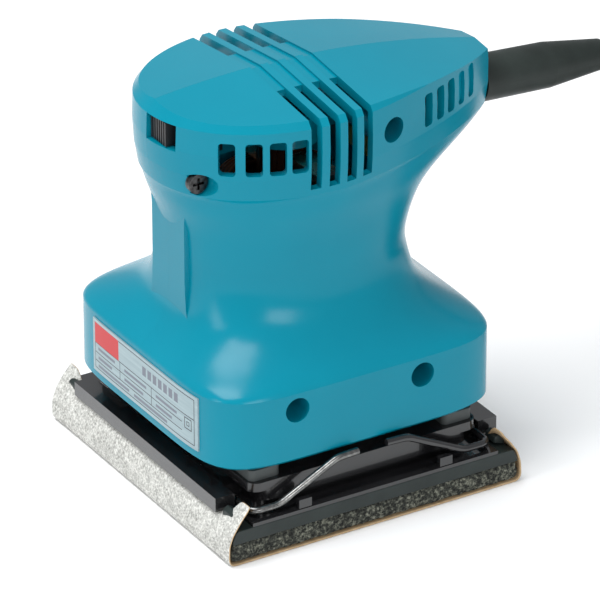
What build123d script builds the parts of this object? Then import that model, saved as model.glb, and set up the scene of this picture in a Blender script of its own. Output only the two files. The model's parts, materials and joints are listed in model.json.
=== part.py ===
"""Palm-grip finishing sander with a quarter-sheet pad, paper clamps and a mains lead.

Millimetres, +Z up. The origin is the centre of the sanding face. The nameplate side faces -Y,
the lead leaves on +Y, and the housing splits into a right (+X) and a left (-X) half.
"""
from build123d import *
import math
import os

os.makedirs("parts", exist_ok=True)

# ---------------------------------------------------------------- driving dimensions
# pad and base
PAD_HALF_X = 57.0  # a quarter sheet is 114 wide
PAD_HALF_Y = 53.9
SHEET = 0.8  # thickness of the paper with its grit
FOAM_TOP = 7.3
LIP_TOP = 13.2
PLATE_BOTTOM = 12.0
PLATE_TOP = 13.2
DECK_TOP = 22.5
DECK_HALF_X = 50.0
DECK_HALF_Y = 42.0
SHELF_Z = 15.8
SHEET_END_Y = 45.6
PAD_SCREW_SPACING = (64.0, 52.0)
PAD_SCREW_R = 2.0
FOOT_X = 40.5
FOOT_Y = 35.5

# paper clamps
AXLE_Y = 43.6
AXLE_Z = 15.4
WIRE_R = 1.2
LEVER_X = 53.6
LEVER_TIP_Y = 5.2
LEVER_TIP_Z = 26.0
AXLE_END_X = 44.0
BAR_HALF_X = 45.0
BAR_BOTTOM = 13.6
BAR_TOP = 18.5
BASE_KNUCKLES = (-35.0, 0.0, 35.0)
CLAMP_KNUCKLES = (-27.0, 27.0)
KNUCKLE_R = 2.0
FIT = 0.05  # radial running clearance

# housing
WALL = 3.0
HOUSING_BOTTOM = 27.0
RIM_Z = 133.0
ROOF_TOP = 141.0
ROOF_INSET = 6.0
RIDGE_TOP = 139.2
RIDGE_Y = -8.0
RIDGE_R = 320.0
ROOF_SLOPE = 0.11
NOSE_Y = 71.0
SPLIT_GAP = 0.02
EDGE = 1.2  # bevel round the open bottom

# drive line
SHAFT_R = 4.0
PIN_R = 5.0
STATOR_R = 25.0
ARMATURE_R = 13.5
COMMUTATOR_R = 8.5
PIN_X = -0.75  # the pad orbits on a circle 1.5 across
PIN_BOTTOM = 14.6
PAD_BEARING_Z = 15.0
PAD_BEARING_R = 13.0
SHAFT_BOTTOM = 24.2
SHAFT_TOP = 121.8
COUNTERWEIGHT_Z = 25.4
COUNTERWEIGHT_HEIGHT = 5.4
FAN_Z = 32.0
FAN_R = 34.0
LOWER_BEARING_Z = 45.0
LOWER_BEARING_R = 11.0
BRACKET_Z = 52.0
STATOR_Z = 62.0
STATOR_HEIGHT = 30.0
STATOR_RINGS = (66.0, 88.0)
COMMUTATOR_Z = 100.5
BRUSH_Z = 106.0
UPPER_BEARING_Z = 115.0
UPPER_BEARING_R = 9.5

# mains lead, 2 m of 7 mm rubber cable
LEAD_R = 3.5
GUARD_R = 7.75
GUARD_NECK_R = 5.6
GUARD_LENGTH = 48.0
GUARD_DROOP = 3.5  # degrees below level
GUARD_ROOT_Z = 114.6
COIL_CENTRE = (28.0, 184.0)
COIL_INNER_R = 31.5
COIL_OUTER_R = 45.5
COIL_HEIGHT = 28.0
ARRIVE_AT = 135.0  # degrees round the coil
LEAVE_AT = 250.0
DROP = [
    (0, 136.3, 110.6),
    (-5.5, 152.2, 104.1),
    (-14.5, 163.4, 93),
    (-23.7, 169.7, 78),
    (-29.3, 174, 61.5),
    (-29.4, 180.5, 45.4),
    (-23.8, 190, 32),
    (-13.6, 201.8, 24.5),
]
TAIL = [(1, 149.1, 3.5), (-14, 153.6, 3.8), (-27, 161, 4.6), (-36.2, 173, 6), (-40.5, 187.5, 7)]
PLUG_START = (-40.5, 202.0, 7.0)
PLUG_LENGTH = 38.0
INNER_LEAD = 22.0

# case screws that join the halves: y, z, how far out the head sits, recess radius
SCREW_R = 1.6
SCREW_DEPTH = 13.0
CASE_SCREWS = [
    (-25.5, 45.2, 34.0, 4.2),
    (20.3, 45.0, 34.0, 4.2),
    (19.6, 123.7, 24.0, 4.2),
    (-41.8, 114.3, 16.5, 3.9),
]

BASE = (Align.CENTER, Align.CENTER, Align.MIN)
TOP = (Align.CENTER, Align.CENTER, Align.MAX)


def save(builder, name):
    """Label a finished piece and write it."""
    builder.part.label = name
    export_step(builder.part, f"parts/{name}.step")


# ---------------------------------------------------------------- housing shape
# One row per level: height, half width, reach to the front, reach to the rear,
# and how square the front and the rear of the outline are (2 is an ellipse).
# Below the first level the block keeps that outline down to its open bottom.
LEVELS = [
    (51.0, 51.0, 53.1, 53.1, 6.0, 6.0),
    (52.4, 50.3, 52.5, 52.4, 5.7, 5.7),
    (54.2, 48.7, 50.6, 50.3, 5.0, 4.9),
    (57.0, 45.4, 47.2, 46.5, 4.0, 3.8),
    (61.5, 40.2, 43.6, 41.9, 3.2, 3.0),
    (67.5, 35.6, 41.8, 39.2, 2.7, 2.6),
    (75.0, 33.6, 41.4, 38.6, 2.35, 2.3),
    (83.0, 33.2, 41.4, 40.0, 2.3, 2.2),
    (90.0, 33.4, 41.6, 44.2, 2.3, 2.05),
    (96.0, 34.2, 42.6, 51.5, 2.2, 1.8),
    (101.0, 35.5, 44.3, 61.0, 2.15, 1.6),
    (105.0, 36.3, 45.8, 69.5, 2.1, 1.48),
    (110.0, 37.3, 47.7, 75.2, 2.1, 1.43),
    (117.0, 37.9, 48.9, 77.0, 2.1, 1.43),
    (125.0, 38.1, 49.4, 77.0, 2.1, 1.43),
    (RIM_Z, 37.9, 49.1, 76.0, 2.1, 1.43),
]
BLOCK = LEVELS[0]
BAND_LEVELS = 3  # the top levels, where the wall of the head runs nearly straight up
HEAD = LEVELS[-2]


def outline_point(level, angle, inset=0.0):
    """A point of one level's outline, at an angle from the front about the upright axis."""
    width, front, rear, front_power, rear_power = level[1:]
    forward = math.cos(angle) > 0
    reach = (front if forward else rear) - inset
    power = front_power if forward else rear_power
    across = abs(math.sin(angle)) / (width - inset)
    along = abs(math.cos(angle)) / reach
    radius = (across**power + along**power) ** (-1 / power)
    return (radius * math.sin(angle), -radius * math.cos(angle))


def level_sketch(level, inset, height=None, count=48):
    """The closed outline of one level, pulled in by inset."""
    with BuildSketch(Plane.XY.offset(level[0] if height is None else height)) as sketch:
        with BuildLine():
            points = [outline_point(level, 2 * math.pi * i / count, inset) for i in range(count)]
            add(Edge.make_spline(points, periodic=True, parameters=list(range(count + 1))))
        make_face()
    return sketch.sketch


def roof_height(y):
    """Height of the ridge along the head."""
    return RIDGE_TOP - RIDGE_R + math.sqrt(RIDGE_R**2 - (y - RIDGE_Y) ** 2)


def right_roof(drop):
    """The space under the right slope of the roof, lowered by drop."""
    with BuildPart() as roof:
        with BuildSketch(Plane.YZ.offset(SPLIT_GAP / 2)):
            with BuildLine():
                ridge = ThreePointArc(*[(y, roof_height(y) - drop) for y in (-70, RIDGE_Y, 90)])
                Polyline(ridge @ 1, (90, -10), (-70, -10), ridge @ 0)
            make_face()
        extrude(amount=80, dir=(1, 0, -ROOF_SLOPE))
    return roof.part


def right_body(inset):
    """The right half of the housing's outer form, or of its hollow when inset."""
    with BuildPart() as body:
        loft([level_sketch(level, inset) for level in LEVELS[:-BAND_LEVELS]])
        loft([level_sketch(level, inset) for level in LEVELS[-BAND_LEVELS - 1 :]], ruled=True)
        loft([level_sketch(LEVELS[-1], inset), level_sketch(LEVELS[-1], inset + ROOF_INSET, ROOF_TOP)])
        extrude(level_sketch(BLOCK, inset, HOUSING_BOTTOM + EDGE), amount=BLOCK[0] - HOUSING_BOTTOM - EDGE)
        loft([level_sketch(BLOCK, inset + h, HOUSING_BOTTOM + EDGE - h) for h in (0, EDGE)])
        add(right_roof(inset), mode=Mode.INTERSECT)
        with Locations((0, NOSE_Y - inset, 0)):
            Box(200, 60, 300, align=(Align.CENTER, Align.MIN, Align.CENTER), mode=Mode.SUBTRACT)
    return body.part


right_outer = right_body(0)
right_hollow = right_body(WALL)


def wall_plane(y, z):
    """A plane on the right wall of the head at y, facing outward."""
    low, high = 0.0, math.pi
    for _ in range(40):
        angle = (low + high) / 2
        if outline_point(HEAD, angle)[1] < y:
            low = angle
        else:
            high = angle
    x0, y0 = outline_point(HEAD, angle - 0.02)
    x1, y1 = outline_point(HEAD, angle + 0.02)
    x, y = outline_point(HEAD, angle)
    return Plane(origin=(x, y, z), x_dir=(x1 - x0, y1 - y0, 0), z_dir=(y1 - y0, x0 - x1, 0))


# front vents are near square and rear ones narrow, the last two only pockets: y on the wall, width, depth
VENT_Z = 124.2
VENT_HEIGHT = 11.2
VENTS = [(y, 5.4, WALL + 2) for y in (-36.3, -29.2, -22.3, -15.5)]
VENTS += [(y, 4.0, WALL + 2) for y in (36, 42, 47.6)]
VENTS += [(y, 3.6, 1.3) for y in (53.3, 58.9)]
SLOT_Y = [-10.2, -3.9, 2.4, 8.7]
SLOT_WIDTH = 3.6
SLOT_BOTTOM = 112.0
SLOT_START_X = 15.0
GROOVE_DEPTH = 0.7
SWITCH_X = 0.0
SWITCH_WIDTH = 13.4
SWITCH_Z = 124.2
SWITCH_HEIGHT = 8.8
SLIDER_X = 0.3
SLIDER_WIDTH = 9.0
PANEL_FACE = 42.1
PANEL_OUTLINE = [(0.01, 56), (14, 56), (10.6, 66), (10, 76), (10, 96), (11.5, 106), (0.01, 108)]
PLATE_X = (-29.5, 35.5)
PLATE_Z = (31.0, 49.6)
PLATE_THICKNESS = 0.5


with BuildPart() as openings:
    for y, width, depth in VENTS:
        with BuildSketch(wall_plane(y, VENT_Z)):
            RectangleRounded(width, VENT_HEIGHT, 1.2)
        extrude(amount=depth, both=True)
    for y in SLOT_Y:
        with Locations((SLOT_START_X, y, SLOT_BOTTOM)):
            Box(60, SLOT_WIDTH, 60, align=(Align.MIN, Align.CENTER, Align.MIN))
    with Locations((0, NOSE_Y, GUARD_ROOT_Z)):
        Cylinder(GUARD_NECK_R + 0.4, 20, rotation=(90, 0, 0))

with BuildPart() as grooves:
    for y in SLOT_Y:
        with Locations((0, y, RIM_Z - 10)):
            Box(60, SLOT_WIDTH, 40, align=(Align.MIN, Align.CENTER, Align.MIN))
    add(right_roof(GROOVE_DEPTH), mode=Mode.SUBTRACT)

# inside each half: screw bosses, rings that hold the stator, the upper bearing seat and a rib
with BuildPart() as fittings:
    for y, z, _, radius in CASE_SCREWS:
        with Locations((0, y, z)):
            Cylinder(radius + 2.2, 60, rotation=(0, 90, 0), align=(Align.CENTER, Align.CENTER, Align.MIN))
    for z in STATOR_RINGS:
        with Locations((0, 0, z)):
            Cylinder(STATOR_R + 9, 2.2)
            Cylinder(STATOR_R + 0.02, 2.2, mode=Mode.SUBTRACT)
    with Locations((0, 0, UPPER_BEARING_Z - 1.5)):
        Cylinder(UPPER_BEARING_R + 3, 9, align=(Align.CENTER, Align.CENTER, Align.MIN))
    with Locations((0, 12, UPPER_BEARING_Z - 1.5)):
        Box(6, 30, 4, align=(Align.CENTER, Align.MIN, Align.MIN))
    with Locations((0, -12, UPPER_BEARING_Z - 1.5)):
        Box(6, 26, 4, align=(Align.CENTER, Align.MAX, Align.MIN))
    with Locations((0, 0, UPPER_BEARING_Z)):
        Cylinder(UPPER_BEARING_R + 0.02, 20, align=BASE, mode=Mode.SUBTRACT)
        Cylinder(SHAFT_R + 2, 20, mode=Mode.SUBTRACT)
    add(right_outer, mode=Mode.INTERSECT)

with BuildPart() as shell_right:
    add(right_outer)
    # a flat panel down the front of the neck, widening where it meets the shoulder
    with BuildSketch(Plane.XZ.offset(PANEL_FACE)):
        Polygon(*PANEL_OUTLINE, align=None)
    extrude(amount=-8)
    add(right_hollow, mode=Mode.SUBTRACT)
    add(fittings.part)
    add(openings.part, mode=Mode.SUBTRACT)
    add(grooves.part, mode=Mode.SUBTRACT)

with BuildPart() as housing_right:
    add(shell_right.part)
    for y, z, seat_x, radius in CASE_SCREWS:
        with Locations((0, y, z)):
            Cylinder(SCREW_R + 0.3, 140, rotation=(0, 90, 0), mode=Mode.SUBTRACT)
        with Locations((seat_x, y, z)):
            Cylinder(
                radius,
                60,
                rotation=(0, 90, 0),
                align=(Align.CENTER, Align.CENTER, Align.MIN),
                mode=Mode.SUBTRACT,
            )
    with Locations((SWITCH_X, -50, SWITCH_Z)):
        Box(SWITCH_WIDTH, 20, SWITCH_HEIGHT, align=(Align.MIN, Align.CENTER, Align.MIN), mode=Mode.SUBTRACT)
save(housing_right, "housing_right")

with BuildPart() as housing_left:
    mirror(shell_right.part, about=Plane.YZ)
    for y, z, _, _ in CASE_SCREWS:
        with Locations((0, y, z)):
            Cylinder(
                SCREW_R + 0.02,
                2 * SCREW_DEPTH + 1,
                rotation=(0, 90, 0),
                mode=Mode.SUBTRACT,
            )
save(housing_left, "housing_left")

with BuildPart() as case_screws:
    for y, z, seat_x, _ in CASE_SCREWS:
        with Locations((-SCREW_DEPTH, y, z)):
            Cylinder(
                SCREW_R,
                seat_x + SCREW_DEPTH + 0.5,
                rotation=(0, 90, 0),
                align=(Align.CENTER, Align.CENTER, Align.MIN),
            )
        with Locations((seat_x, y, z)):
            Cylinder(3.3, 2.4, rotation=(0, 90, 0), align=(Align.CENTER, Align.CENTER, Align.MIN))
        with Locations((seat_x + 2.4, y, z)):
            Box(2.4, 4.0, 0.9, mode=Mode.SUBTRACT)
            Box(2.4, 0.9, 4.0, mode=Mode.SUBTRACT)
save(case_screws, "case_screws")

with BuildPart() as nameplate:
    plate_middle = (PLATE_X[0] + PLATE_X[1]) / 2
    extrude(level_sketch(BLOCK, -PLATE_THICKNESS, PLATE_Z[0]), amount=PLATE_Z[1] - PLATE_Z[0])
    extrude(level_sketch(BLOCK, 0, PLATE_Z[0]), amount=PLATE_Z[1] - PLATE_Z[0], mode=Mode.SUBTRACT)
    with Locations((plate_middle, -50, PLATE_Z[0])):
        Box(PLATE_X[1] - PLATE_X[0], 20, 40, align=BASE, mode=Mode.INTERSECT)
save(nameplate, "nameplate")


# ---------------------------------------------------------------- switch
with BuildPart() as switch_slider:
    with Locations((SLIDER_X, -45.3, SWITCH_Z + 0.4)):
        Box(SLIDER_WIDTH, 5.0, SWITCH_HEIGHT - 0.8, align=(Align.MIN, Align.CENTER, Align.MIN))
    for i in range(6):
        with Locations((SLIDER_X + 1.2 + 1.35 * i, -47.8, SWITCH_Z + SWITCH_HEIGHT / 2)):
            Box(0.6, 1.2, SWITCH_HEIGHT, mode=Mode.SUBTRACT)
save(switch_slider, "switch_slider")

with BuildPart() as switch_body:
    with Locations((1.0, -33.2, SWITCH_Z + 1.0)):
        Box(16, 11.6, 7)
    with Locations((1.0, -30.8, SWITCH_Z - 4.4)):
        with GridLocations(12, 5, 2, 2):
            Box(0.8, 3.8, 5)
save(switch_body, "switch_body")


# ---------------------------------------------------------------- motor, fixed parts
with BuildPart() as bearing_bracket:
    with BuildSketch(Plane.XY.offset(BRACKET_Z)):
        RectangleRounded(86, 88, 22)
        with PolarLocations(30, 8, start_angle=22.5):
            Circle(7, mode=Mode.SUBTRACT)
    extrude(amount=2.4)
    with Locations((0, 0, LOWER_BEARING_Z - 0.5)):
        Cylinder(LOWER_BEARING_R + 2.2, BRACKET_Z + 2.4 - LOWER_BEARING_Z + 0.5, align=BASE)
    with Locations((0, 0, LOWER_BEARING_Z - 1)):
        Cylinder(LOWER_BEARING_R + 0.02, 8.02, align=BASE, mode=Mode.SUBTRACT)
        Cylinder(SHAFT_R + 2, 20, align=BASE, mode=Mode.SUBTRACT)
save(bearing_bracket, "bearing_bracket")


def ring_part(name, z, outer, inner, height, offset_x=0.0):
    """A plain ring about the shaft, such as a ball bearing."""
    with BuildPart() as ring:
        with Locations((offset_x, 0, z)):
            Cylinder(outer, height, align=BASE)
            Cylinder(inner, height, align=BASE, mode=Mode.SUBTRACT)
        chamfer(ring.edges().filter_by(GeomType.CIRCLE), 0.35)
    save(ring, name)


ring_part("lower_bearing", LOWER_BEARING_Z, LOWER_BEARING_R, SHAFT_R + FIT, 7.0)
ring_part("upper_bearing", UPPER_BEARING_Z, UPPER_BEARING_R, SHAFT_R + FIT, 6.0)
ring_part("pad_bearing", PAD_BEARING_Z, PAD_BEARING_R, PIN_R + FIT, 7.4, PIN_X)

with BuildPart() as stator_core:
    with BuildSketch(Plane.XY.offset(STATOR_Z)):
        Circle(STATOR_R)
        Circle(ARMATURE_R + 0.6, mode=Mode.SUBTRACT)
        with PolarLocations(18.8, 2, start_angle=90):
            Rectangle(5.2, 23, mode=Mode.SUBTRACT)
        Circle(ARMATURE_R + 0.6, mode=Mode.SUBTRACT)
    extrude(amount=STATOR_HEIGHT)
save(stator_core, "stator_core")

with BuildPart() as field_coils:
    for z in (STATOR_Z - 6.2, STATOR_Z + STATOR_HEIGHT + 0.2):
        with BuildSketch(Plane.XY.offset(z)):
            Circle(22.5)
            Circle(16.5, mode=Mode.SUBTRACT)
            Rectangle(12, 60, mode=Mode.SUBTRACT)
        extrude(amount=6.0)
    fillet(field_coils.edges().filter_by(GeomType.CIRCLE), 1.6)
save(field_coils, "field_coils")

with BuildPart() as brush_holders:
    for side in (-1, 1):
        with Locations((side * 18.5, 0, BRUSH_Z)):
            Box(17.6, 8.6, 9.6)
            Box(17.6, 6.2, 7.4, mode=Mode.SUBTRACT)
save(brush_holders, "brush_holders")

with BuildPart() as carbon_brushes:
    for side in (-1, 1):
        with Locations((side * (COMMUTATOR_R + 0.1 + 5.0), 0, BRUSH_Z)):
            Box(10.0, 6.0, 7.2)
save(carbon_brushes, "carbon_brushes")

with BuildPart() as brush_springs:
    for side in (-1, 1):
        with Locations((side * 22.85, 0, BRUSH_Z)):
            Cylinder(2.6, 8.4, rotation=(0, 90, 0))
            Cylinder(1.9, 8.4, rotation=(0, 90, 0), mode=Mode.SUBTRACT)
save(brush_springs, "brush_springs")

with BuildPart() as brush_caps:
    for side in (-1, 1):
        with Locations((side * 28.2, 0, BRUSH_Z)):
            Box(1.6, 8.6, 9.6)
save(brush_caps, "brush_caps")

with BuildPart() as capacitor:
    with Locations((0, 36, 105.2)):
        Box(17, 15, 11)
    fillet(capacitor.edges().filter_by(Axis.Z), 1.2)
save(capacitor, "capacitor")


# ---------------------------------------------------------------- motor, turning parts
with BuildPart() as motor_shaft:
    with Locations((0, 0, SHAFT_BOTTOM)):
        Cylinder(SHAFT_R, SHAFT_TOP - SHAFT_BOTTOM, align=BASE)
    with Locations((PIN_X, 0, PIN_BOTTOM)):
        Cylinder(PIN_R, SHAFT_BOTTOM + 1 - PIN_BOTTOM, align=BASE)
save(motor_shaft, "motor_shaft")

with BuildPart() as armature_core:
    with BuildSketch(Plane.XY.offset(STATOR_Z + 2)):
        Circle(ARMATURE_R)
        with PolarLocations(ARMATURE_R - 1.6, 12):
            SlotOverall(4.6, 2.0, mode=Mode.SUBTRACT)
        Circle(SHAFT_R + 0.02, mode=Mode.SUBTRACT)
    extrude(amount=STATOR_HEIGHT - 4)
save(armature_core, "armature_core")

with BuildPart() as armature_windings:
    for z in (STATOR_Z - 4.2, STATOR_Z + STATOR_HEIGHT - 1.8):
        with Locations((0, 0, z)):
            Cylinder(12.0, 6.0, align=BASE)
    fillet(armature_windings.edges().filter_by(GeomType.CIRCLE), 2.0)
    Cylinder(SHAFT_R + 0.02, 300, mode=Mode.SUBTRACT)
save(armature_windings, "armature_windings")

with BuildPart() as commutator:
    with BuildSketch(Plane.XY.offset(COMMUTATOR_Z)):
        Circle(COMMUTATOR_R)
        with PolarLocations(COMMUTATOR_R, 24):
            Rectangle(1.6, 0.5, mode=Mode.SUBTRACT)
        Circle(SHAFT_R + 0.02, mode=Mode.SUBTRACT)
    extrude(amount=11)
save(commutator, "commutator")

with BuildPart() as cooling_fan:
    with Locations((0, 0, FAN_Z)):
        Cylinder(FAN_R, 1.5, align=BASE)
        Cylinder(8, 6, align=BASE)
    with Locations((0, 0, FAN_Z + 1.0)):
        with PolarLocations(21, 14):
            Box(24, 1.2, 4.6, align=BASE)
    Cylinder(SHAFT_R + 0.02, 300, mode=Mode.SUBTRACT)
save(cooling_fan, "cooling_fan")

with BuildPart() as counterweight:
    with BuildSketch(Plane.XY.offset(COUNTERWEIGHT_Z)):
        Circle(24)
        with Locations((16, 0)):
            Rectangle(32, 60, mode=Mode.SUBTRACT)
        Circle(9)
        Circle(SHAFT_R + 0.02, mode=Mode.SUBTRACT)
    extrude(amount=COUNTERWEIGHT_HEIGHT)
save(counterweight, "counterweight")


# ---------------------------------------------------------------- pad
def pad_profile(inset):
    """End view of the pad in Y and Z: flat below, rounded ends that lean inward to the lips."""
    bottom = inset
    with BuildSketch(Plane.YZ) as profile:
        with BuildLine():
            for side in (-1, 1):
                heel = (side * (PAD_HALF_Y - inset), bottom + 1.5)
                waist = (side * (PAD_HALF_Y - 0.7 - inset), 7.0)
                lip = (side * (PAD_HALF_Y - 3.4 - inset), LIP_TOP - inset)
                ThreePointArc(heel, waist, lip)
                Line(heel, (side * (PAD_HALF_Y - 1.2 - inset), bottom))
            Line((PAD_HALF_Y - 1.2 - inset, bottom), (-PAD_HALF_Y + 1.2 + inset, bottom))
            Line((PAD_HALF_Y - 3.4 - inset, LIP_TOP - inset), (-PAD_HALF_Y + 3.4 + inset, LIP_TOP - inset))
        make_face()
    return profile.sketch


def pad_block(half_x, inset):
    """The pad's whole form, half_x to each side."""
    with BuildPart() as block:
        extrude(pad_profile(inset), amount=half_x, both=True)
    return block.part


def layer(low, high):
    """A flat layer wider than the pad, for cutting the pad's form into its pieces."""
    with BuildPart() as slab:
        with Locations((0, 0, low)):
            Box(200, 200, high - low, align=BASE)
    return slab.part


with BuildPart() as sanding_sheet:
    add(pad_block(PAD_HALF_X, 0))
    add(pad_block(PAD_HALF_X, SHEET), mode=Mode.SUBTRACT)
    with Locations((0, 0, LIP_TOP - SHEET - 0.5)):
        Box(200, 2 * SHEET_END_Y, 10, align=BASE, mode=Mode.SUBTRACT)
save(sanding_sheet, "sanding_sheet")

with BuildPart() as foam_pad:
    add(pad_block(PAD_HALF_X - 0.4, SHEET + 0.02))
    add(layer(0, FOAM_TOP), mode=Mode.INTERSECT)
save(foam_pad, "foam_pad")

with BuildPart() as backing_pad:
    add(pad_block(PAD_HALF_X - 0.2, SHEET + 0.02))
    add(layer(FOAM_TOP, PLATE_BOTTOM), mode=Mode.INTERSECT)
save(backing_pad, "backing_pad")

with BuildPart() as base_plate:
    with BuildSketch(Plane.XY.offset(PLATE_BOTTOM)):
        Rectangle(2 * PAD_HALF_X - 0.8, 2 * SHEET_END_Y - 0.6)
    extrude(amount=PLATE_TOP - PLATE_BOTTOM)
    # the deck: a narrow foot under a wider shelf, whose edges make the two lines along the side
    with BuildSketch(Plane.XY.offset(PLATE_TOP)):
        RectangleRounded(2 * DECK_HALF_X - 7, 2 * DECK_HALF_Y - 8, 3)
    extrude(amount=SHELF_Z - PLATE_TOP)
    with BuildSketch(Plane.XY.offset(SHELF_Z)):
        RectangleRounded(2 * DECK_HALF_X, 2 * DECK_HALF_Y - 8, 3)
    extrude(amount=DECK_TOP - SHELF_Z - 3)
    with BuildSketch(Plane.XY.offset(DECK_TOP - 3)):
        RectangleRounded(2 * DECK_HALF_X, 2 * DECK_HALF_Y, 4)
    extrude(amount=3)
    # knuckles that carry the wire axles, and the hooks on the flange
    for side in (-1, 1):
        for x in BASE_KNUCKLES:
            with Locations((x, side * (AXLE_Y - 3), AXLE_Z)):
                Box(5, 6, 2 * KNUCKLE_R)
            with Locations((x, side * AXLE_Y, AXLE_Z)):
                Cylinder(KNUCKLE_R, 5, rotation=(0, 90, 0))
        with Locations((PAD_HALF_X - 1.7, side * 26, PLATE_TOP)):
            Box(2.0, 4.6, 3.2, align=BASE)
        with Locations((0, side * AXLE_Y, AXLE_Z)):
            Cylinder(WIRE_R + FIT, 120, rotation=(0, 90, 0), mode=Mode.SUBTRACT)
    # hub for the pad bearing and a hollow round it
    with Locations((PIN_X, 0, PAD_BEARING_Z)):
        Cylinder(PAD_BEARING_R + 0.02, 20, align=BASE, mode=Mode.SUBTRACT)
    with Locations((PIN_X, 0, PAD_BEARING_Z - 2)):
        Cylinder(PIN_R + 1.5, 20, align=BASE, mode=Mode.SUBTRACT)
    with GridLocations(*PAD_SCREW_SPACING, 2, 2):
        CounterBoreHole(PAD_SCREW_R + 0.05, 3.6, DECK_TOP - PLATE_TOP - 1.5, 30)
save(base_plate, "base_plate")

with BuildPart() as pad_screws:
    with Locations((0, 0, PLATE_TOP + 1.5)):
        with GridLocations(*PAD_SCREW_SPACING, 2, 2):
            Cylinder(3.3, 2.4, align=BASE)
            Cylinder(PAD_SCREW_R, PLATE_TOP + 1.5 - PLATE_BOTTOM, align=TOP)
    with Locations((0, 0, PLATE_TOP + 3.9)):
        with GridLocations(*PAD_SCREW_SPACING, 2, 2):
            Box(4.0, 0.9, 2.2, mode=Mode.SUBTRACT)
            Box(0.9, 4.0, 2.2, mode=Mode.SUBTRACT)
save(pad_screws, "pad_screws")

with BuildPart() as rubber_feet:
    with Locations((0, 0, DECK_TOP)):
        with GridLocations(2 * FOOT_X, 2 * FOOT_Y, 2, 2):
            Box(15, 11, HOUSING_BOTTOM - 0.8 - DECK_TOP, align=BASE)
    fillet(rubber_feet.edges().filter_by(Axis.Z), 2.0)
save(rubber_feet, "rubber_feet")


# ---------------------------------------------------------------- paper clamps
def clamp_part(name, side):
    """A bar that presses the paper on the lip, with two knuckles on the wire axle."""
    with BuildPart() as clamp:
        with Locations((0, side * 48.5, BAR_BOTTOM)):
            Box(2 * BAR_HALF_X, 7.0, BAR_TOP - BAR_BOTTOM, align=BASE)
        with Locations((0, side * 47.6, BAR_BOTTOM)):
            Box(2 * BAR_HALF_X - 2.4, 6.4, BAR_TOP - BAR_BOTTOM - 1.2, align=BASE, mode=Mode.SUBTRACT)
        for x in CLAMP_KNUCKLES:
            with Locations((x, side * (AXLE_Y + 2), AXLE_Z + 0.6)):
                Box(5, 4.0, 2.8)
            with Locations((x, side * AXLE_Y, AXLE_Z)):
                Cylinder(KNUCKLE_R, 5, rotation=(0, 90, 0))
        with Locations((0, side * AXLE_Y, AXLE_Z)):
            Cylinder(WIRE_R + FIT, 120, rotation=(0, 90, 0), mode=Mode.SUBTRACT)
    save(clamp, name)


def lever_part(name, side):
    """A bent spring wire: an axle across the base and an arm along its right side."""
    route = [
        (-AXLE_END_X, side * AXLE_Y, AXLE_Z),
        (LEVER_X, side * AXLE_Y, AXLE_Z),
        (LEVER_X, side * 34.0, AXLE_Z),
        (LEVER_X, side * 13.0, LEVER_TIP_Z),
        (LEVER_X, side * LEVER_TIP_Y, LEVER_TIP_Z + 0.3),
    ]
    with BuildPart() as lever:
        with BuildLine() as path:
            FilletPolyline(*route, radius=[3.0, 9.0, 9.0])
        with BuildSketch(Plane(origin=route[0], z_dir=(1, 0, 0))):
            Circle(WIRE_R)
        sweep()
    save(lever, name)


for end_name, end_side in (("front", -1), ("rear", 1)):
    clamp_part(f"{end_name}_clamp", end_side)
    lever_part(f"{end_name}_lever", end_side)


# ---------------------------------------------------------------- mains lead
droop = math.radians(GUARD_DROOP)
guard_root = Vector(0, NOSE_Y, GUARD_ROOT_Z)
guard_direction = Vector(0, math.cos(droop), -math.sin(droop))
guard_end = guard_root + guard_direction * GUARD_LENGTH
guard_plane = Plane(origin=guard_root, x_dir=(1, 0, 0), z_dir=(0, math.sin(droop), math.cos(droop)))

with BuildPart() as cord_guard:
    with BuildSketch(guard_plane):
        with BuildLine():
            Polyline(
                (LEAD_R + 0.02, -6.2),
                (7.0, -6.2),
                (7.0, -WALL - 0.5),
                (GUARD_NECK_R, -WALL - 0.5),
                (GUARD_NECK_R, 0.6),
                (GUARD_R, 0.6),
                (GUARD_R - 0.2, 27.0),
                (LEAD_R + 1.6, GUARD_LENGTH),
                (LEAD_R + 0.02, GUARD_LENGTH),
                close=True,
            )
        make_face()
    revolve(axis=Axis(guard_root, guard_direction))
save(cord_guard, "cord_guard")

with BuildPart() as inner_lead:
    with BuildSketch(Plane(origin=guard_end, z_dir=guard_direction)):
        Circle(LEAD_R)
    extrude(amount=-(GUARD_LENGTH + INNER_LEAD))
save(inner_lead, "inner_lead")

clamp_y = NOSE_Y - 15.0
clamp_z = GUARD_ROOT_Z + 15.0 * math.tan(droop)
with BuildPart() as cord_clamp:
    with Locations((0, clamp_y, clamp_z + LEAD_R + 0.25)):
        Box(19, 7, 2.0, align=BASE)
    with Locations((0, clamp_y, clamp_z - LEAD_R - 2.25)):
        Box(19, 7, 2.0, align=BASE)
    with Locations((0, clamp_y, 0)):
        with GridLocations(13, 1, 2, 1):
            Cylinder(1.35, 300, mode=Mode.SUBTRACT)
save(cord_clamp, "cord_clamp")

with BuildPart() as cord_clamp_screws:
    with Locations((0, clamp_y, clamp_z - LEAD_R - 2.25)):
        with GridLocations(13, 1, 2, 1):
            Cylinder(1.3, 2 * LEAD_R + 4.5, align=BASE)
    with Locations((0, clamp_y, clamp_z + LEAD_R + 2.25)):
        with GridLocations(13, 1, 2, 1):
            Cylinder(2.5, 1.8, align=BASE)
save(cord_clamp_screws, "cord_clamp_screws")


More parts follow.
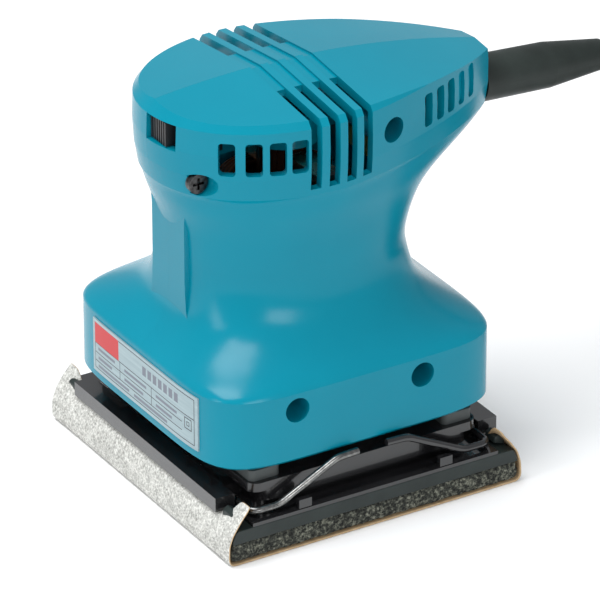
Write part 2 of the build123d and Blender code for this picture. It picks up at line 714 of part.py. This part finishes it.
def lead_tube(name, route):
    """A stretch of the lead: straight runs joined by tangent arcs as large as the runs allow."""
    points = [Vector(*point) for point in route]
    radii = []
    for before, corner, after in zip(points, points[1:], points[2:]):
        turn = (corner - before).get_angle(after - corner)
        run = min((corner - before).length, (after - corner).length)
        radii.append(0.45 * run / math.tan(math.radians(turn / 2)))
    with BuildPart() as tube:
        with BuildLine() as path:
            FilletPolyline(*points, radius=radii)
        with BuildSketch(Plane(origin=points[0], z_dir=points[1] - points[0])):
            Circle(LEAD_R)
        sweep()
    length = sum(edge.length for edge in path.line.edges())
    print(name, "radii", [round(radius) for radius in radii], "length", round(length))
    print(name, "volume over section times length", tube.part.volume / (length * math.pi * LEAD_R**2))
    save(tube, name)


def on_coil(degrees, height):
    """A point on the coil's outer turn."""
    turn_r = COIL_OUTER_R - LEAD_R
    angle = math.radians(degrees)
    return (COIL_CENTRE[0] + turn_r * math.cos(angle), COIL_CENTRE[1] + turn_r * math.sin(angle), height)


# from the guard in one falling curve to the coil's top turn
lead_tube("mains_lead", [guard_end] + DROP + [on_coil(ARRIVE_AT, COIL_HEIGHT - LEAD_R)])

with BuildPart() as lead_coil:
    with Locations((*COIL_CENTRE, 0)):
        Cylinder(COIL_OUTER_R, COIL_HEIGHT, align=BASE)
        Cylinder(COIL_INNER_R, COIL_HEIGHT, align=BASE, mode=Mode.SUBTRACT)
    fillet(lead_coil.edges().filter_by(GeomType.CIRCLE), LEAD_R - 0.1)
save(lead_coil, "lead_coil")

# from the coil's bottom turn along the floor to the plug
lead_tube("lead_tail", [on_coil(LEAVE_AT, LEAD_R)] + TAIL + [PLUG_START])

plug_plane = Plane(origin=PLUG_START, x_dir=(1, 0, 0), z_dir=(0, 1, 0))
with BuildPart() as mains_plug:
    for offset, width, height in ((0, 10, 10), (10, 14, 11), (17, 26, 14), (PLUG_LENGTH, 35, 14)):
        with BuildSketch(plug_plane.offset(offset)):
            RectangleRounded(width, height, 0.45 * height)
    loft(ruled=True)
save(mains_plug, "mains_plug")

with BuildPart() as plug_pins:
    with BuildSketch(plug_plane.offset(PLUG_LENGTH)):
        with GridLocations(19, 1, 2, 1):
            Circle(2.0)
    extrude(amount=19)
    chamfer(plug_pins.faces().sort_by(Axis.Y)[-1].edges(), 0.8)
save(plug_pins, "plug_pins")
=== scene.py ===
import json
import math

import bmesh
import bpy
from mathutils import Matrix, Vector, noise


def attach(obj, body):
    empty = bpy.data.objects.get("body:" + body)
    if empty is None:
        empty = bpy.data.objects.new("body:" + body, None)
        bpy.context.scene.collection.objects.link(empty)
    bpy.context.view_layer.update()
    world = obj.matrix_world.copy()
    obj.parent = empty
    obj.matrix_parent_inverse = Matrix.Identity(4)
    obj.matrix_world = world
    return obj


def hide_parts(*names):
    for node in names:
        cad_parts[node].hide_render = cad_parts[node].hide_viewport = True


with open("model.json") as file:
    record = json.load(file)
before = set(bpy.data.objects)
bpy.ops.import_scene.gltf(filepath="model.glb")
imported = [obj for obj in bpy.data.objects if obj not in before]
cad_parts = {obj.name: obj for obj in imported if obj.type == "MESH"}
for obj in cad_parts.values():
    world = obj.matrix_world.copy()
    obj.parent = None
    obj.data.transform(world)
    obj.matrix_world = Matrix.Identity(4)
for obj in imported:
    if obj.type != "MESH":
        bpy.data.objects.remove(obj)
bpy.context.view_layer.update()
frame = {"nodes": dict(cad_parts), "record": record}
MM = 0.001
nodes = frame["nodes"]


# ------------------------------------------------------------------ camera
AZIMUTH, ELEVATION, ROLL = math.radians(59.16), math.radians(27.41), math.radians(0.22)
DISTANCE = 1.908
MIDDLE = Vector((0, 0, 0.060))
AIM_RIGHT, AIM_DOWN = 0.00513, 0.0051
LENS, SENSOR_WIDTH = 360, 36


def make_camera():
    """A long lens well back from the sander, a little above it, on its right and towards its front."""
    level = math.cos(ELEVATION)
    sight = Vector((-math.sin(AZIMUTH) * level, math.cos(AZIMUTH) * level, -math.sin(ELEVATION)))
    right = Vector((math.cos(AZIMUTH), math.sin(AZIMUTH), 0))
    up = right.cross(sight)
    right_rolled = math.cos(ROLL) * right - math.sin(ROLL) * up
    up_rolled = math.sin(ROLL) * right + math.cos(ROLL) * up
    eye = MIDDLE - sight * DISTANCE
    aim = MIDDLE + right_rolled * AIM_RIGHT - up_rolled * AIM_DOWN
    back = (eye - aim).normalized()
    side = (right_rolled - back * right_rolled.dot(back)).normalized()
    top = back.cross(side)
    data = bpy.data.cameras.new("camera")
    data.lens, data.sensor_width = LENS, SENSOR_WIDTH
    data.clip_start, data.clip_end = 0.05, 50
    camera = bpy.data.objects.new("camera", data)
    bpy.context.scene.collection.objects.link(camera)
    camera.matrix_world = Matrix(
        (
            (side.x, top.x, back.x, eye.x),
            (side.y, top.y, back.y, eye.y),
            (side.z, top.z, back.z, eye.z),
            (0, 0, 0, 1),
        )
    )
    bpy.context.scene.camera = camera


make_camera()


# ------------------------------------------------------------------ material building
class Look:
    """A procedural material, built step by step."""

    def __init__(self, name, rough=0.5, metal=0.0, coat=0.0, spec=0.5):
        self.mat = bpy.data.materials.new(name)
        self.mat.use_nodes = True
        self.tree = self.mat.node_tree
        self.shader = self.tree.nodes["Principled BSDF"]
        self.shader.inputs["Roughness"].default_value = rough
        self.shader.inputs["Metallic"].default_value = metal
        self.shader.inputs["Coat Weight"].default_value = coat
        self.shader.inputs["Specular IOR Level"].default_value = spec
        self.coords = self.tree.nodes.new("ShaderNodeTexCoord").outputs["Object"]
        self.bumps = None

    def node(self, kind, **values):
        made = self.tree.nodes.new(kind)
        for key, value in values.items():
            setattr(made, key, value)
        return made

    def link(self, a, b):
        self.tree.links.new(a, b)

    def noise(self, scale, detail=3.0, rough=0.55, stretch=None):
        """A noise value over the surface; scale is in cycles per metre."""
        coords = self.coords
        if stretch:
            mapping = self.node("ShaderNodeMapping")
            mapping.inputs["Scale"].default_value = stretch
            self.link(coords, mapping.inputs["Vector"])
            coords = mapping.outputs["Vector"]
        made = self.node("ShaderNodeTexNoise")
        made.inputs["Scale"].default_value = scale
        made.inputs["Detail"].default_value = detail
        made.inputs["Roughness"].default_value = rough
        self.link(coords, made.inputs["Vector"])
        return made.outputs["Fac"]

    def cells(self, scale):
        """The distance from each point to the middle of its cell."""
        made = self.node("ShaderNodeTexVoronoi", feature="F1")
        made.inputs["Scale"].default_value = scale
        self.link(self.coords, made.inputs["Vector"])
        return made.outputs["Distance"]

    def math(self, operation, a, b):
        made = self.node("ShaderNodeMath", operation=operation)
        for socket, value in ((made.inputs[0], a), (made.inputs[1], b)):
            if isinstance(value, (int, float)):
                socket.default_value = value
            else:
                self.link(value, socket)
        return made.outputs[0]

    def ramp(self, value, stops):
        """A colour from a value, through stops of (value, colour)."""
        made = self.node("ShaderNodeValToRGB")
        ramp = made.color_ramp
        while len(ramp.elements) < len(stops):
            ramp.elements.new(0.5)
        for element, (place, colour) in zip(ramp.elements, stops):
            element.position = place
            element.color = (*colour, 1)
        self.link(value, made.inputs["Fac"])
        return made.outputs["Color"]

    def mix(self, mask, a, b):
        """Colour a where the mask is 0 and colour b where it is 1."""
        made = self.node("ShaderNodeMix", data_type="RGBA")
        self.link(mask, made.inputs["Factor"])
        for socket, value in ((made.inputs["A"], a), (made.inputs["B"], b)):
            if isinstance(value, tuple):
                socket.default_value = (*value, 1)
            else:
                self.link(value, socket)
        return made.outputs["Result"]

    def colour(self, value):
        self.link(value, self.shader.inputs["Base Color"])

    def roughness(self, value, low, high):
        """Roughness that drifts between low and high with a noise value."""
        made = self.node("ShaderNodeMapRange")
        made.inputs["From Min"].default_value = 0.3
        made.inputs["From Max"].default_value = 0.7
        made.inputs["To Min"].default_value = low
        made.inputs["To Max"].default_value = high
        self.link(value, made.inputs["Value"])
        self.link(made.outputs["Result"], self.shader.inputs["Roughness"])

    def bump(self, value, depth, strength=1.0):
        """Relief of that depth in metres, added to any relief already there."""
        made = self.node("ShaderNodeBump")
        made.inputs["Distance"].default_value = depth
        made.inputs["Strength"].default_value = strength
        self.link(value, made.inputs["Height"])
        if self.bumps is not None:
            self.link(self.bumps, made.inputs["Normal"])
        self.bumps = made.outputs["Normal"]
        self.link(self.bumps, self.shader.inputs["Normal"])

    def axis(self, letter):
        """The place along X, Y or Z, in metres."""
        made = self.node("ShaderNodeSeparateXYZ")
        self.link(self.coords, made.inputs[0])
        return made.outputs[letter]


def plastic(name, base, dark, rough=0.34, coat=0.0, grain=1800, depth=0.00003, spec=0.5):
    """Moulded plastic: faint colour drift, and a fine spark grain in gloss and relief."""
    look = Look(name, rough, coat=coat, spec=spec)
    look.colour(look.ramp(look.noise(16, 4), [(0.3, dark), (0.7, base)]))
    look.roughness(look.noise(60, 4), rough * 0.88, rough * 1.14)
    look.bump(look.noise(grain, 2), depth, 0.5)
    return look.mat


def metal(name, base, dark, rough=0.3, scale=900, depth=0.00002):
    """Bare or plated metal with a fine mottle of marks."""
    look = Look(name, rough, 1.0)
    marks = look.noise(scale, 4, 0.6)
    look.colour(look.ramp(marks, [(0.3, dark), (0.7, base)]))
    look.roughness(look.noise(140, 3), rough * 0.75, rough * 1.3)
    look.bump(marks, depth, 0.5)
    return look.mat


def rubber(name, base, dark, rough=0.6, depth=0.00005):
    """Dull moulded rubber with a fine relief."""
    look = Look(name, rough, spec=0.3)
    look.colour(look.ramp(look.noise(70, 5), [(0.3, dark), (0.7, base)]))
    look.roughness(look.noise(200, 3), rough * 0.85, rough * 1.15)
    look.bump(look.noise(1500, 3), depth, 0.6)
    return look.mat


def grit_paper():
    """Fine pale abrasive with a mottled coating of dark and light grains."""
    look = Look("grit_paper", 0.88, spec=0.3)
    grains = look.noise(1300, 3, 0.7)
    patches = look.noise(420, 3, 0.6)
    mottle = look.math("ADD", look.math("MULTIPLY", grains, 0.74), look.math("MULTIPLY", patches, 0.26))
    dark, middle, pale = (0.28, 0.28, 0.26), (0.52, 0.52, 0.49), (0.74, 0.74, 0.7)
    look.colour(look.ramp(mottle, [(0.38, dark), (0.5, middle), (0.62, pale)]))
    look.bump(grains, 0.00022, 1.0)
    look.bump(patches, 0.0002, 0.4)
    return look.mat


def backing_paper():
    """The tan paper that carries the grit, seen on its back and its cut edge."""
    look = Look("backing_paper", 0.85, spec=0.2)
    look.colour(look.ramp(look.noise(500, 4), [(0.3, (0.42, 0.29, 0.16)), (0.7, (0.55, 0.4, 0.24))]))
    look.bump(look.noise(1800, 3), 0.00006, 0.6)
    return look.mat


def foam_rubber():
    """Closed-cell sponge: dark, with olive and grey flecks and open pores on its cut sides."""
    look = Look("foam_rubber", 0.92, spec=0.25)
    cells = look.cells(900)
    flecks = look.noise(750, 4, 0.7)
    sponge = look.ramp(flecks, [(0.36, (0.012, 0.013, 0.012)), (0.5, (0.045, 0.048, 0.04)),
                                (0.6, (0.14, 0.145, 0.115)), (0.72, (0.3, 0.3, 0.25))])
    # Near-black at the cell middles, which the bump below turns into pits: painted shade inside the pores.
    wall = look.ramp(cells, [(0.12, (0, 0, 0)), (0.4, (1, 1, 1))])
    look.colour(look.mix(wall, (0.01, 0.011, 0.01), sponge))
    look.bump(cells, 0.0004, 0.9)
    look.bump(flecks, 0.0003, 0.7)
    return look.mat


def laminated(name, base, dark):
    """A stack of thin steel sheets, seen as fine level lines."""
    look = Look(name, 0.45, 0.8)
    waves = look.node("ShaderNodeTexWave", wave_type="BANDS", bands_direction="Z")
    waves.inputs["Scale"].default_value = 320
    waves.inputs["Distortion"].default_value = 0.3
    look.link(look.coords, waves.inputs["Vector"])
    look.colour(look.mix(look.noise(60, 3), dark, base))
    look.roughness(look.noise(90, 3), 0.35, 0.55)
    look.bump(waves.outputs["Fac"], 0.0001, 0.8)
    return look.mat


def windings(name, base, dark):
    """Enamelled wire laid side by side."""
    look = Look(name, 0.3, 0.6, coat=0.4)
    waves = look.node("ShaderNodeTexWave", wave_type="RINGS", rings_direction="Z")
    waves.inputs["Scale"].default_value = 260
    waves.inputs["Distortion"].default_value = 1.5
    look.link(look.coords, waves.inputs["Vector"])
    # Darker where the wave bands are low, in the grooves between wires in the bump below: painted shade in
    # the grooves.
    look.colour(look.ramp(waves.outputs["Fac"], [(0.2, dark), (0.8, base)]))
    look.bump(waves.outputs["Fac"], 0.0002, 0.8)
    return look.mat


# The plate's printing, in millimetres of X and Z on the front of the block.
PLATE_LEFT, PLATE_RIGHT, PLATE_LOW, PLATE_HIGH = -28.2, 33.9, 32.2, 48.6
RULE_WIDE = 0.32
RULES = ((41.2, PLATE_RIGHT), (37.9, 27.0), (34.9, 27.0))  # height, right end
CELL_WALLS = (-12, 8)
BAR_ROWS = (
    (39.2, 40.2, ((-26, -15), (-9, 5), (11, 24))),
    (36.0, 37.0, ((-26, -17), (-9, 3), (11, 21))),
    (33.1, 34.1, ((-26, -6), (-3, 18))),
)
BLOCK_COUNT, BLOCK_START, BLOCK_WIDE, BLOCK_STEP = 7, 2.6, 2.3, 3.3


def printed_plate():
    """A pale foil plate with a red block, ruled cells and grey bars, and no words."""
    look = Look("printed_plate", 0.36, 0.25, spec=0.5)
    x = look.math("MULTIPLY", look.axis("X"), 1000)
    z = look.math("MULTIPLY", look.axis("Z"), 1000)

    def within(value, low, high):
        above = look.math("GREATER_THAN", value, low)
        return look.math("MULTIPLY", above, look.math("LESS_THAN", value, high))

    def box(x0, z0, x1, z1):
        return look.math("MULTIPLY", within(x, x0, x1), within(z, z0, z1))

    def any_of(masks):
        total = masks[0]
        for mask in masks[1:]:
            total = look.math("MAXIMUM", total, mask)
        return total

    def outline(x0, z0, x1, z1, wide):
        return [box(x0, z0, x1, z0 + wide), box(x0, z1 - wide, x1, z1),
                box(x0, z0, x0 + wide, z1), box(x1 - wide, z0, x1, z1)]

    brushed = look.noise(900, 3, 0.6, (0.05, 1, 1))
    foil = look.ramp(brushed, [(0.3, (0.26, 0.345, 0.375)), (0.7, (0.33, 0.43, 0.455))])
    lines = outline(PLATE_LEFT, PLATE_LOW, PLATE_RIGHT, PLATE_HIGH, RULE_WIDE)
    lines += [box(PLATE_LEFT, height, end, height + RULE_WIDE) for height, end in RULES]
    lines += [box(wall, RULES[-1][0], wall + RULE_WIDE, RULES[0][0]) for wall in CELL_WALLS]
    lines += outline(28.4, 36.6, 32.4, 40.6, 0.35) + outline(29.6, 37.8, 31.2, 39.4, 0.3)
    starts = [BLOCK_START + BLOCK_STEP * i for i in range(BLOCK_COUNT)]
    bars = [box(start, 43.4, start + BLOCK_WIDE, 46.6) for start in starts]
    bars += [box(x0, low, x1, high) for low, high, row in BAR_ROWS for x0, x1 in row]
    colour = look.mix(any_of(bars), foil, (0.14, 0.16, 0.2))
    colour = look.mix(any_of(lines), colour, (0.03, 0.035, 0.045))
    colour = look.mix(box(PLATE_LEFT, 41.4, -12.6, PLATE_HIGH), colour, (0.5, 0.015, 0.02))
    look.colour(colour)
    look.bump(look.noise(1200, 3, 0.6, (0.05, 1, 1)), 0.00002, 0.4)
    return look.mat


TEAL = (0.0, 0.232, 0.325)
TEAL_DARK = (0.0, 0.205, 0.292)
looks = {
    "housing_plastic": plastic("housing_plastic", TEAL, TEAL_DARK, 0.22, spec=0.2),
    "black_steel": plastic("black_steel", (0.012, 0.012, 0.013), (0.007, 0.007, 0.008), 0.2,
                           coat=0.6, grain=700, depth=0.00004),
    "bright_steel": metal("bright_steel", (0.26, 0.26, 0.25), (0.1, 0.1, 0.1), 0.25),
    "dark_screw": metal("dark_screw", (0.1, 0.1, 0.1), (0.03, 0.03, 0.03), 0.3),
    "grit": grit_paper(),
    "foam": foam_rubber(),
    "backing_rubber": rubber("backing_rubber", (0.022, 0.031, 0.029), (0.014, 0.02, 0.019), 0.4),
    "foot_rubber": rubber("foot_rubber", (0.07, 0.08, 0.08), (0.045, 0.05, 0.05), 0.55),
    "black_rubber": rubber("black_rubber", (0.022, 0.03, 0.027), (0.012, 0.017, 0.015), 0.45, 0.00003),
    "black_plastic": plastic("black_plastic", (0.02, 0.02, 0.021), (0.012, 0.012, 0.013), 0.4),
    "nameplate_metal": printed_plate(),
    "core_steel": laminated("core_steel", (0.4, 0.4, 0.41), (0.25, 0.25, 0.26)),
    # The windings are coloured far darker than copper's own colour: painted shade for the inside of the
    # housing seen through the vents.
    "copper": windings("copper", (0.13, 0.045, 0.015), (0.05, 0.018, 0.007)),
    "carbon": plastic("carbon", (0.04, 0.04, 0.042), (0.02, 0.02, 0.021), 0.5, grain=900, depth=0.00006),
    "fan_plastic": plastic("fan_plastic", (0.06, 0.06, 0.065), (0.035, 0.035, 0.04), 0.45),
    "cast_metal": metal("cast_metal", (0.5, 0.5, 0.51), (0.34, 0.34, 0.35), 0.42, scale=400, depth=0.00015),
    "pin_brass": metal("pin_brass", (0.7, 0.66, 0.52), (0.5, 0.46, 0.34), 0.25),
    "capacitor_film": plastic("capacitor_film", (0.62, 0.42, 0.05), (0.5, 0.33, 0.03), 0.35),
}
for part in frame["record"]["subparts"]:
    node = nodes[part["node"]]
    node.data.materials.clear()
    node.data.materials.append(looks[part["material_slot"]])


def add_piece(name, mesh, body, slot, replaced=()):
    """Put a finished mesh or curve in the scene, riding on a body."""
    piece = bpy.data.objects.new(name, mesh)
    bpy.context.scene.collection.objects.link(piece)
    mesh.materials.append(looks[slot])
    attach(piece, body)
    if replaced:
        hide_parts(*replaced)
    return piece


# ------------------------------------------------------------------ mains lead
LEAD_R = 3.5
COIL_CENTRE = (28.0, 184.0)
OUTER_TURN, INNER_TURN = 42.0, 35.0
ARRIVE_AT, LEAVE_AT = 135.0, 250.0
WHOLE_TURNS = 7
POINTS_PER_TURN = 16
GUARD_DROOP = math.radians(3.5)
GUARD_LENGTH = 48
GUARD_ROOT = Vector((0, 71, 114.6))
GUARD_END = GUARD_ROOT + GUARD_LENGTH * Vector((0, math.cos(GUARD_DROOP), -math.sin(GUARD_DROOP)))
DROP = [
    (0, 136.3, 110.6),
    (-5.5, 152.2, 104.1),
    (-14.5, 163.4, 93),
    (-23.7, 169.7, 78),
    (-29.3, 174, 61.5),
    (-29.4, 180.5, 45.4),
    (-23.8, 190, 32),
    (-13.6, 201.8, 24.5),
]
TAIL = [(1, 149.1, 3.5), (-14, 153.6, 3.8), (-27, 161, 4.6), (-36.2, 173, 6), (-40.5, 187.5, 7)]
PLUG_START = (-40.5, 202.0, 7.0)

# radius and height of each turn in order: the winding goes in and out as it comes down
TURNS = [
    (OUTER_TURN, 24.5), (INNER_TURN, 24.5), (INNER_TURN, 17.5), (OUTER_TURN, 17.5),
    (OUTER_TURN, 10.5), (INNER_TURN, 10.5), (INNER_TURN, 3.5), (OUTER_TURN, 3.5),
]
CROSSOVER = 0.16  # of a turn, to move from one turn's place to the next


def coil_points():
    """Points round the coil, a turn after a turn, each moving over to its own place."""
    swept = ARRIVE_AT - LEAVE_AT + 360 + 360 * WHOLE_TURNS
    count = round(swept / 360 * POINTS_PER_TURN)
    points = []
    for step in range(count + 1):
        turned = swept * step / count
        turn = min(int(turned // 360), len(TURNS) - 1)
        share = min((turned / 360 - turn) / CROSSOVER, 1.0)
        share = share * share * (3 - 2 * share)
        before = TURNS[max(turn - 1, 0)]
        radius = before[0] + (TURNS[turn][0] - before[0]) * share
        height = before[1] + (TURNS[turn][1] - before[1]) * share
        angle = math.radians(ARRIVE_AT - turned)
        x = COIL_CENTRE[0] + radius * math.cos(angle)
        y = COIL_CENTRE[1] + radius * math.sin(angle)
        points.append((x, y, height))
    return points


def make_lead():
    """The mains lead, from its guard down to the coil and on to the plug."""
    curve = bpy.data.curves.new("lead_curve", "CURVE")
    curve.dimensions = "3D"
    route = [tuple(GUARD_END)] + DROP + coil_points() + TAIL + [PLUG_START]
    spline = curve.splines.new("NURBS")
    spline.points.add(len(route) - 1)
    for point, place in zip(spline.points, route):
        point.co = (*[value * MM for value in place], 1)
    spline.order_u = 3
    spline.use_endpoint_u = True
    spline.resolution_u = 5
    curve.bevel_depth = LEAD_R * MM
    curve.bevel_resolution = 5
    curve.use_fill_caps = True
    solids = ["mains_lead", "lead_coil", "lead_tail"]
    piece = add_piece("lead_flex", curve, "housing", "black_rubber", solids)


make_lead()


# ------------------------------------------------------------------ meshes
def smooth_mesh(name, rows):
    """A smooth open mesh through rows of points in millimetres."""
    work = bmesh.new()
    grid = [[work.verts.new(Vector(point) * MM) for point in row] for row in rows]
    for row, following in zip(grid, grid[1:]):
        for i in range(len(row) - 1):
            work.faces.new((row[i], row[i + 1], following[i + 1], following[i]))
    bmesh.ops.recalc_face_normals(work, faces=work.faces)
    for face in work.faces:
        face.smooth = True
    mesh = bpy.data.meshes.new(name)
    work.to_mesh(mesh)
    work.free()
    return mesh


def add_modifier(piece, kind, **values):
    modifier = piece.modifiers.new(kind.lower(), kind)
    for key, value in values.items():
        setattr(modifier, key, value)


def smoothstep(low, high, value):
    """0 up to low, 1 from high, and a smooth rise between."""
    share = min(max((value - low) / (high - low), 0), 1)
    return share * share * (3 - 2 * share)


def line_length(line):
    """The length of a polyline of (y, z) points."""
    return sum((Vector(b) - Vector(a)).length for a, b in zip(line, line[1:]))


def along(line, step):
    """Points every step along a polyline of (y, z) points, the last one included."""
    points = [Vector(p) for p in line]
    lengths = [(b - a).length for a, b in zip(points, points[1:])]
    total = sum(lengths)
    count = max(2, round(total / step))
    out = []
    for i in range(count + 1):
        target = total * i / count
        k = 0
        while k < len(lengths) - 1 and target > lengths[k]:
            target -= lengths[k]
            k += 1
        out.append(points[k].lerp(points[k + 1], min(target / lengths[k], 1)))
    return out


# ------------------------------------------------------------------ abrasive sheet
# A quarter sheet. Under the clamp bars it lies flat on the lips; past their ends it springs up.
PAD_Y = 53.9
SHEET_HALF_X = 57.0
THICK = 0.55
STRIPS = 96
STEP_ALONG = 1.15
HELD_END = [
    (PAD_Y - 1.0, 0),
    (PAD_Y - 0.1, 1.2),
    (PAD_Y - 0.5, 6.8),
    (PAD_Y - 1.7, 10.6),
    (PAD_Y - 3.2, 12.75),
    (PAD_Y - 5.2, 13.0),
    (PAD_Y - 6.9, 13.0),
]
FREE_END = [
    (PAD_Y - 1.0, 0),
    (PAD_Y + 0.1, 1.3),
    (PAD_Y - 0.1, 6.8),
    (PAD_Y - 1.6, 11.0),
    (PAD_Y - 4.0, 14.6),
    (PAD_Y - 6.4, 17.6),
    (PAD_Y - 7.4, 19.2),
]
BAR_END, FREE_FROM = 45.6, 53.0  # where the bars stop holding the paper, and where it is quite free
RIGHT_LIFT, LEFT_LIFT = 1.0, 0.85  # how far the corners spring up on each side


def sheet_row(x, side_lift):
    """One strip of the sheet across the pad at x, as (y, z) points from the front end to the rear end."""
    lift = smoothstep(BAR_END, FREE_FROM, abs(x)) * side_lift
    end = [Vector(a).lerp(Vector(b), lift) for a, b in zip(HELD_END, FREE_END)]
    half = along([(0, 0)] + [tuple(p) for p in end], STEP_ALONG)
    front = [(-p.x, p.y) for p in reversed(half)]
    return front + [(p.x, p.y) for p in half[1:]]


def rippled(x, y, z):
    """The place of a point of the sheet, waved a little where the paper is free."""
    wave = noise.noise(Vector((x * 0.09, y * 0.2, z * 0.12)))
    free = smoothstep(3, 9, z) * smoothstep(42, SHEET_HALF_X, abs(x))
    return (x, y + wave * 0.35 * free, z + wave * 0.25 * free)


def make_sheet():
    """The quarter sheet, stretched under the pad and folded up over its two ends."""
    count = None
    rows = []
    for i in range(STRIPS + 1):
        x = -SHEET_HALF_X + 2 * SHEET_HALF_X * i / STRIPS
        row = sheet_row(x, RIGHT_LIFT if x > 0 else LEFT_LIFT)
        count = count or len(row)
        line = along(row, line_length(row) / (count - 1))[:count]
        rows.append([rippled(x, p.x, p.y + THICK / 2 + 0.01) for p in line])
    mesh = smooth_mesh("sheet_mesh", rows)
    piece = add_piece("abrasive_sheet", mesh, "base", "grit", ["sanding_sheet"])
    mesh.materials.append(backing_paper())
    add_modifier(piece, "SOLIDIFY", thickness=THICK * MM, offset=0, material_offset=1, material_offset_rim=1)
    add_modifier(piece, "SUBSURF", levels=1, render_levels=1)
    flat = (2 * SHEET_HALF_X * MM, line_length(sheet_row(0, RIGHT_LIFT)) * MM)


make_sheet()


# ------------------------------------------------------------------ foam and backing
FOAM_VOXEL = 0.8
FOAM_SKIN = 0.12  # how far its held faces stay inside its solid
CUT_SIDE = (54.5, 56.2)  # where the open pores begin, towards the sides


def remeshed(node, name, voxel):
    """A dense copy of a CAD node's shape, ready for small relief."""
    source = nodes[node]
    copy = bpy.data.objects.new(name, source.data.copy())
    bpy.context.scene.collection.objects.link(copy)
    modifier = copy.modifiers.new("remesh", "REMESH")
    modifier.mode = "VOXEL"
    modifier.voxel_size = voxel * MM
    modifier.use_smooth_shade = True
    graph = bpy.context.evaluated_depsgraph_get()
    mesh = bpy.data.meshes.new_from_object(copy.evaluated_get(graph))
    bpy.data.objects.remove(copy)
    mesh.name = name
    mesh.materials.clear()
    return mesh


def make_foam():
    """The sponge, with open pores on the two sides that the sheet leaves bare."""
    mesh = remeshed("foam_pad", "foam_mesh", FOAM_VOXEL)
    work = bmesh.new()
    work.from_mesh(mesh)
    work.normal_update()
    for vert in work.verts:
        point = vert.co / MM
        open_side = smoothstep(*CUT_SIDE, abs(point.x))
        pores = noise.noise(point * 1.1) * 0.32 + noise.noise(point * 0.45) * 0.22
        vert.co -= vert.normal * MM * (FOAM_SKIN + open_side * max(pores, -0.2))
    work.to_mesh(mesh)
    work.free()
    piece = add_piece("foam_cushion", mesh, "base", "foam", ["foam_pad"])


def rounded_prism(name, outline, low_x, high_x, radius, body, slot, replaced=()):
    """An outline in Y and Z run from low_x to high_x, with every edge rounded over."""
    work = bmesh.new()
    ends = [[work.verts.new(Vector((x, y, z)) * MM) for y, z in outline] for x in (low_x, high_x)]
    count = len(outline)
    for i in range(count):
        j = (i + 1) % count
        work.faces.new((ends[0][i], ends[0][j], ends[1][j], ends[1][i]))
    work.faces.new(list(reversed(ends[0])))
    work.faces.new(ends[1])
    bmesh.ops.recalc_face_normals(work, faces=work.faces)
    bmesh.ops.bevel(work, geom=list(work.edges), offset=radius * MM, segments=3, profile=0.5,
                    affect="EDGES", clamp_overlap=True)
    for face in work.faces:
        face.smooth = True
    mesh = bpy.data.meshes.new(name + "_mesh")
    work.to_mesh(mesh)
    work.free()
    piece = add_piece(name, mesh, body, slot, replaced)
    add_modifier(piece, "WEIGHTED_NORMAL", keep_sharp=True)


# Half of the slab's outline and one ear's, as (Y outwards from the middle, Z).
SLAB_EDGE = [(50.4, 11.95), (51.4, 11.5), (52.5, 9.0), (52.6, 7.35)]
SLAB_HALF_X = 56.7
EAR = [(46.6, 13.3), (50.6, 12.1), (50.2, 15.2), (48.6, 16.2), (46.9, 15.2)]
EAR_X = (46.4, 52.2)


def make_backing():
    """The rubber skin over the foam: a slab with a rounded top edge, and upturned ears at its corners."""
    profile = [(-y, z) for y, z in reversed(SLAB_EDGE)] + SLAB_EDGE
    rounded_prism("backing_rubber_slab", profile, -SLAB_HALF_X, SLAB_HALF_X, 0.25, "base", "backing_rubber",
                  ["backing_pad"])
    for x_side, x_name in ((-1, "left"), (1, "right")):
        for y_side, y_name in ((-1, "front"), (1, "rear")):
            outline = [(y_side * y, z) for y, z in EAR]
            low_x, high_x = sorted(x_side * x for x in EAR_X)
            rounded_prism(f"ear_{x_name}_{y_name}", outline, low_x, high_x, 0.35, "base", "backing_rubber")


make_foam()
make_backing()


# ------------------------------------------------------------------ room
FLOOR_HALF = 6000
FLOOR_Z = -0.1


def make_room():
    """A wide pale floor under a soft, even sky."""
    sides = (-FLOOR_HALF, FLOOR_HALF)
    floor_mesh = smooth_mesh("floor_mesh", [[(x, y, FLOOR_Z) for y in sides] for x in sides])
    floor = bpy.data.objects.new("floor", floor_mesh)
    bpy.context.scene.collection.objects.link(floor)
    look = Look("floor_paper", 0.9, spec=0.1)
    look.colour(look.ramp(look.noise(8, 3), [(0.3, (0.95, 0.95, 0.95)), (0.7, (0.97, 0.97, 0.97))]))
    floor_mesh.materials.append(look.mat)
    world = bpy.data.worlds.new("studio")
    world.use_nodes = True
    world.node_tree.nodes["Background"].inputs["Color"].default_value = (0.95, 0.97, 1.0, 1)
    world.node_tree.nodes["Background"].inputs["Strength"].default_value = 0.5
    bpy.context.scene.world = world


make_room()


# ------------------------------------------------------------------ lights
def area_light(name, place, target, power, width, height):
    """A rectangular lamp at a place in metres, turned towards its target."""
    data = bpy.data.lights.new(name, "AREA")
    data.shape = "RECTANGLE"
    data.size, data.size_y = width, height
    data.energy = power
    lamp = bpy.data.objects.new(name, data)
    bpy.context.scene.collection.objects.link(lamp)
    lamp.location = place
    lamp.rotation_mode = "QUATERNION"
    lamp.rotation_quaternion = (Vector(target) - Vector(place)).to_track_quat("-Z", "Y")


area_light("key", (-0.15, -0.35, 1.35), (0, 0, 0.09), 17, 0.9, 0.7)
area_light("side", (1.15, -0.1, 0.6), (0, 0, 0.07), 4.5, 0.5, 0.5)
area_light("front_strip", (0.1, -1.2, 0.45), (0, 0, 0.08), 3.4, 0.3, 0.7)

bpy.context.scene.view_settings.view_transform = "Standard"
